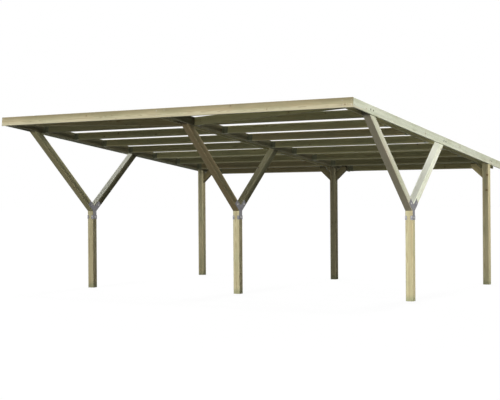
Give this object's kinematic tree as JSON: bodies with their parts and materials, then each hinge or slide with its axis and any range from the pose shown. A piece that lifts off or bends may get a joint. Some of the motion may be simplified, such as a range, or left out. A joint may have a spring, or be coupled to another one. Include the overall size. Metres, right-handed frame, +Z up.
{
  "type": "carport",
  "caption": "Open timber carport frame: Y-forked front posts and straight back posts carry paired-plank beams with purlins hung between them, falling gently to the back.",
  "frame": {"origin": "on the floor under the middle of the overall box", "axes": "+X along the front to the right as seen from the front, +Y to the back, +Z up"},
  "size_m": [6.361, 6.5249, 2.9635],
  "materials": {
    "square_timber": "planed, treated",
    "planed_board": "planed, treated",
    "galvanised_steel": "galvanised"
  },
  "bodies": {
    "root": {"back_post_left": "square_timber", "back_post_mid": "square_timber", "back_post_right": "square_timber", "beam_left_plank_left": "planed_board", "beam_left_plank_right": "planed_board", "beam_mid_plank_left": "planed_board", "beam_mid_plank_right": "planed_board", "beam_right_plank_left": "planed_board", "beam_right_plank_right": "planed_board", "fork_plates_left": "galvanised_steel", "fork_plates_mid": "galvanised_steel", "fork_plates_right": "galvanised_steel", "front_arm_left": "square_timber", "front_arm_mid": "square_timber", "front_arm_right": "square_timber", "front_diagonal_left": "planed_board", "front_diagonal_right": "planed_board", "front_fascia": "planed_board", "front_post_left": "square_timber", "front_post_mid": "square_timber", "front_post_right": "square_timber", "joist_hangers": "galvanised_steel", "knee_brace_left_inner": "square_timber", "knee_brace_left_outer": "square_timber", "knee_brace_right_inner": "square_timber", "knee_brace_right_outer": "square_timber", "purlin_left_0": "planed_board", "purlin_left_1": "planed_board", "purlin_left_2": "planed_board", "purlin_left_3": "planed_board", "purlin_left_4": "planed_board", "purlin_left_5": "planed_board", "purlin_left_6": "planed_board", "purlin_left_7": "planed_board", "purlin_left_8": "planed_board", "purlin_right_0": "planed_board", "purlin_right_1": "planed_board", "purlin_right_2": "planed_board", "purlin_right_3": "planed_board", "purlin_right_4": "planed_board", "purlin_right_5": "planed_board", "purlin_right_6": "planed_board", "purlin_right_7": "planed_board", "purlin_right_8": "planed_board", "rear_arm_left": "square_timber", "rear_arm_mid": "square_timber", "rear_arm_right": "square_timber", "rear_tie_left": "planed_board", "rear_tie_right": "planed_board"}
  },
  "joints": []
}
